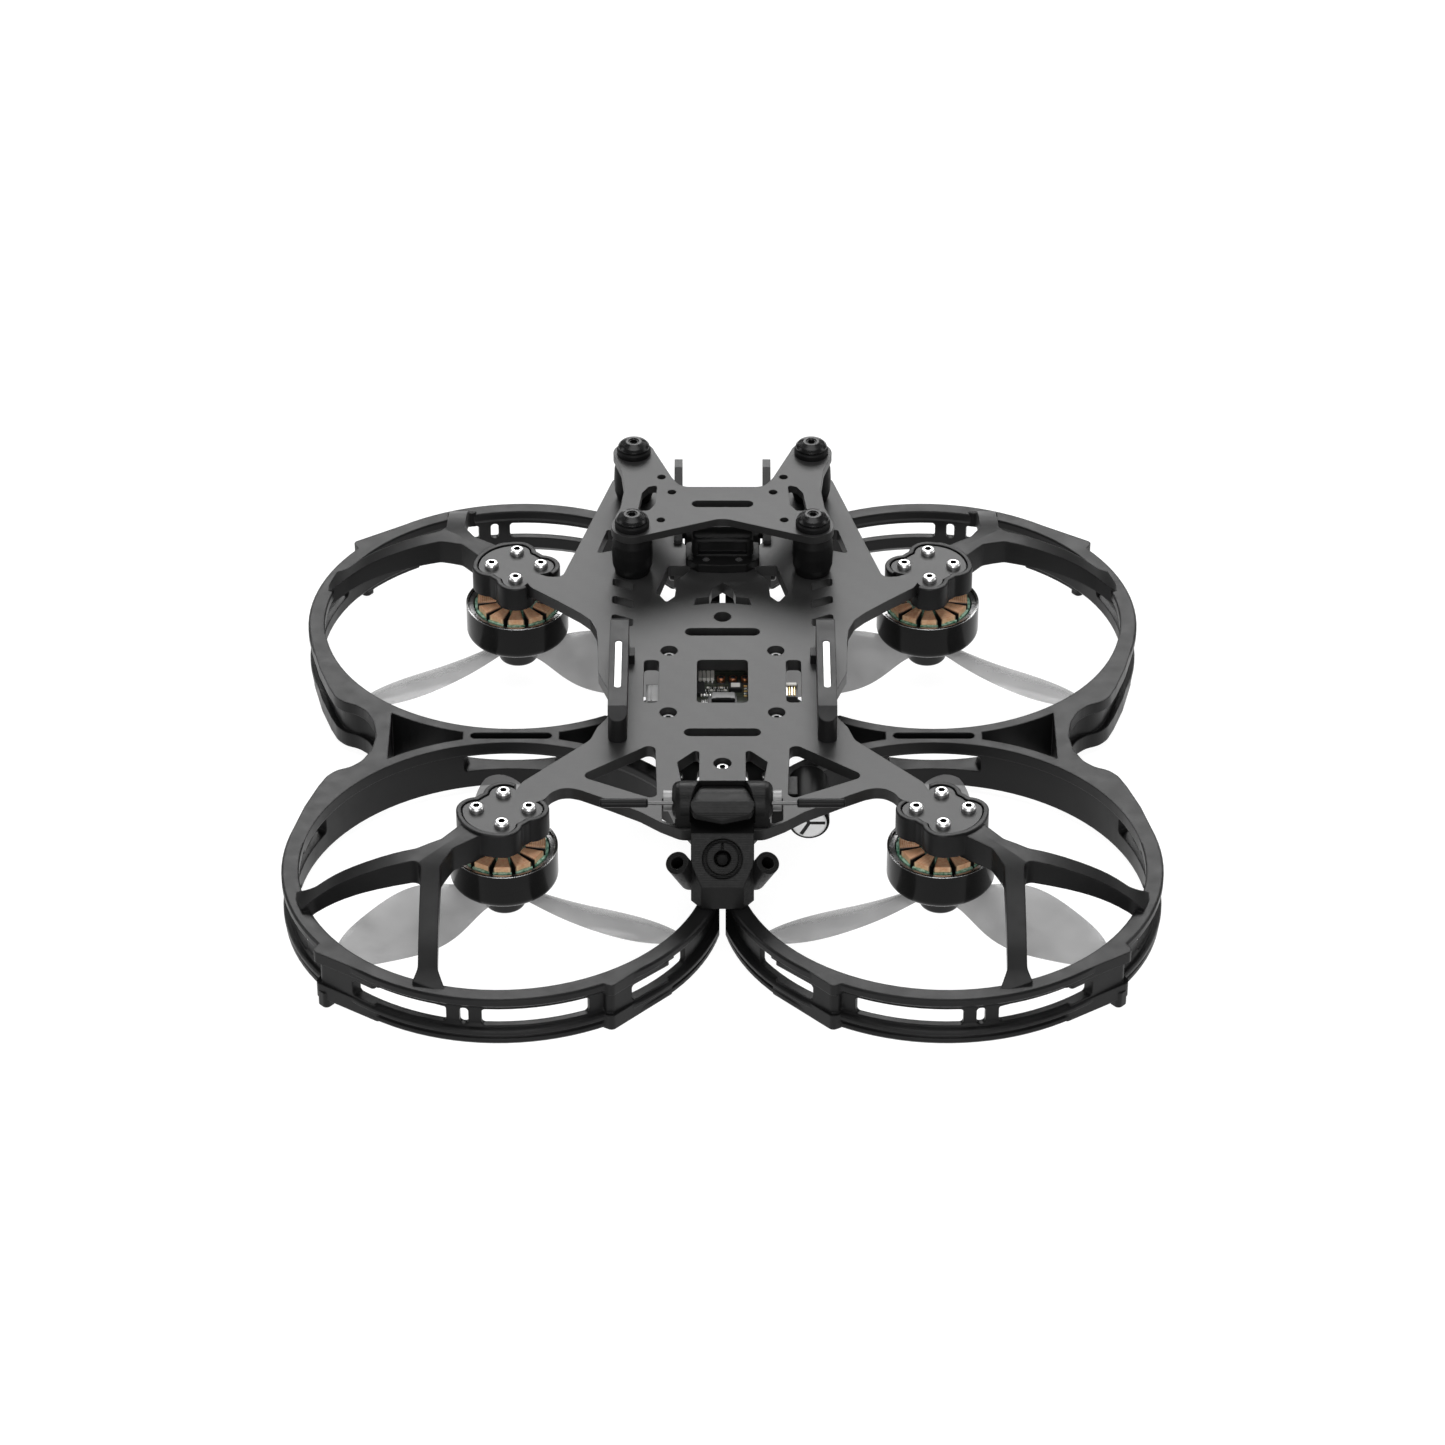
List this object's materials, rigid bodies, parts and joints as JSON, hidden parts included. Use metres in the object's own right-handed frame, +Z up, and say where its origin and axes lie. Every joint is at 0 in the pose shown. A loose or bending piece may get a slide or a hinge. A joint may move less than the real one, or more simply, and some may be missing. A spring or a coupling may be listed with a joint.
{
  "type": "fpv racing drone",
  "caption": "Ducted first-person-view quadcopter: carbon plate, twin moulded prop guards, inverted motors, damped payload deck, tilting nose camera, printed tail mount.",
  "frame": {"origin": "on the ground under the centre of the bounding box, midway between the four motors", "axes": "+X to the aircraft's right, +Y to its nose, +Z up"},
  "size_m": [0.2036, 0.203, 0.0465],
  "materials": {
    "carbon_plate": "satin woven carbon",
    "guard_plastic": "fine moulded grain",
    "rail_plastic": "moulded",
    "diffuser": "milky light strip",
    "steel_screw": "machined",
    "anodised_standoff": "black anodised",
    "circuit_board": "solder mask",
    "board_parts": "chips",
    "vtx_case": "finned",
    "soft_rubber": "soft",
    "damper_cap": "anodised",
    "black_screw": "blackened",
    "capacitor_can": "sleeved can",
    "printed_tpu": "printed layers",
    "motor_aluminium": "anodised",
    "bell_black": "gloss",
    "stator_green": "insulated laminations",
    "copper_wire": "enamelled copper",
    "magnet": "plated",
    "prop_smoke": "smoked translucent",
    "camera_body": "moulded",
    "lens_glass": "coated",
    "antenna_wire": "wire",
    "antenna_sleeve": "heat shrink"
  },
  "bodies": {
    "frame": {"antenna_rods": "antenna_wire", "antenna_sleeves": "antenna_sleeve", "bottom_plate": "carbon_plate", "camera_cradle": "printed_tpu", "camera_side_plates": "carbon_plate", "camera_standoffs": "anodised_standoff", "capacitor": "capacitor_can", "capacitor_clip": "printed_tpu", "deck_dampers": "soft_rubber", "flight_controller": "circuit_board", "flight_controller_parts": "board_parts", "frame_screws": "steel_screw", "frame_standoffs": "anodised_standoff", "guard_standoffs": "anodised_standoff", "left_duct_guard": "guard_plastic", "main_plate": "carbon_plate", "motor_base_front_left": "motor_aluminium", "motor_base_front_right": "motor_aluminium", "motor_base_rear_left": "motor_aluminium", "motor_base_rear_right": "motor_aluminium", "motor_screws": "steel_screw", "motor_stators": "stator_green", "motor_windings": "copper_wire", "rail_light_strips": "diffuser", "rear_aerial": "antenna_sleeve", "right_duct_guard": "guard_plastic", "side_rails": "rail_plastic", "stack_dampers": "soft_rubber", "stack_screws": "steel_screw", "stack_spacers": "anodised_standoff", "tail_bolt": "steel_screw", "tail_hood": "printed_tpu", "tail_mount": "printed_tpu", "tail_nuts": "steel_screw", "video_transmitter": "vtx_case"},
    "rotor_rear_left": {"motor_bell_rear_left": "bell_black", "motor_magnets_rear_left": "magnet", "prop_rear_left": "prop_smoke", "prop_screws_rear_left": "steel_screw"},
    "rotor_rear_right": {"motor_bell_rear_right": "bell_black", "motor_magnets_rear_right": "magnet", "prop_rear_right": "prop_smoke", "prop_screws_rear_right": "steel_screw"},
    "rotor_front_left": {"motor_bell_front_left": "bell_black", "motor_magnets_front_left": "magnet", "prop_front_left": "prop_smoke", "prop_screws_front_left": "steel_screw"},
    "rotor_front_right": {"motor_bell_front_right": "bell_black", "motor_magnets_front_right": "magnet", "prop_front_right": "prop_smoke", "prop_screws_front_right": "steel_screw"},
    "deck": {"damper_deck": "carbon_plate", "damper_collars": "soft_rubber", "damper_caps": "damper_cap", "damper_pins": "black_screw"},
    "camera": {"fpv_camera": "camera_body", "fpv_camera_barrel": "camera_body", "fpv_camera_lens": "lens_glass", "camera_tilt_screws": "steel_screw"}
  },
  "joints": [
    {"name": "spin_rear_left", "type": "hinge", "parent": "frame", "child": "rotor_rear_left", "pos_m": [-0.0504, -0.0501, 0.012], "axis": [0, 0, 1], "continuous": true},
    {"name": "spin_rear_right", "type": "hinge", "parent": "frame", "child": "rotor_rear_right", "pos_m": [0.0504, -0.0501, 0.012], "axis": [0, 0, 1], "continuous": true},
    {"name": "spin_front_left", "type": "hinge", "parent": "frame", "child": "rotor_front_left", "pos_m": [-0.0504, 0.0501, 0.012], "axis": [0, 0, 1], "continuous": true},
    {"name": "spin_front_right", "type": "hinge", "parent": "frame", "child": "rotor_front_right", "pos_m": [0.0504, 0.0501, 0.012], "axis": [0, 0, 1], "continuous": true},
    {"name": "deck_float", "type": "slide", "parent": "frame", "child": "deck", "axis": [0, 0, 1], "range_m": [-0.0015, 0.001], "stiffness_N_per_m": 3000, "deforming": ["deck_dampers"]},
    {"name": "camera_tilt", "type": "hinge", "parent": "frame", "child": "camera", "pos_m": [0, 0.076, 0.0222], "axis": [1, 0, 0], "range_deg": [-10, 40]}
  ]
}
